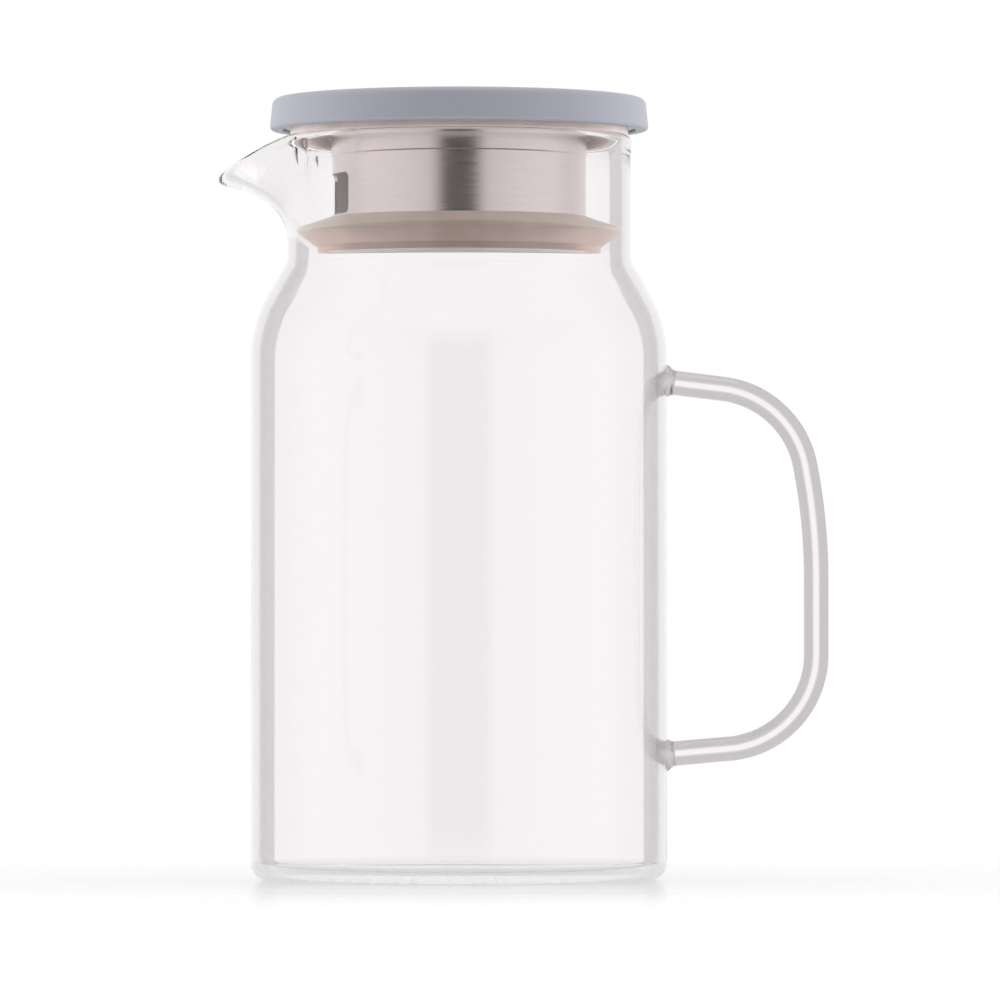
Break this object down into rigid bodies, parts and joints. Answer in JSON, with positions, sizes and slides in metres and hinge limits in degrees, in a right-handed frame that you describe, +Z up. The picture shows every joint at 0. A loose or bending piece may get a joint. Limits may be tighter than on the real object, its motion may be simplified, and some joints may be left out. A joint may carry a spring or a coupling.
{
  "type": "lidded glass pitcher",
  "caption": "Clear glass pitcher with a pulled spout, a fused rod handle and a push-in lid: a grey cap over a steel pouring drum with silicone seals.",
  "frame": {"origin": "on the body's axis, at the face that the pitcher stands on", "axes": "+Z up along the body's axis, +X towards the handle, -X towards the spout"},
  "size_m": [0.1731, 0.118, 0.2218],
  "materials": {
    "clear_glass": "clear borosilicate glass, fire-polished rim",
    "silicone": "translucent warm grey silicone, matte",
    "brushed_steel": "stainless steel, brushed round the drum",
    "pale_plastic": "pale grey moulded plastic",
    "grey_plastic": "blue-grey moulded plastic, soft matte"
  },
  "bodies": {
    "pitcher": {"glass_body": "clear_glass", "glass_handle": "clear_glass"},
    "seal": {"seal_ring": "silicone"},
    "lid": {"steel_drum": "brushed_steel", "rim_gasket": "silicone", "cap_liner": "pale_plastic", "lid_cap": "grey_plastic"}
  },
  "joints": [
    {"name": "lid_lift", "type": "slide", "parent": "pitcher", "child": "seal", "axis": [0, 0, 1], "range_m": [0, 0.07]},
    {"name": "lid_turn", "type": "hinge", "parent": "seal", "child": "lid", "pos_m": [0, 0, 0.2], "axis": [0, 0, 1], "continuous": true}
  ]
}
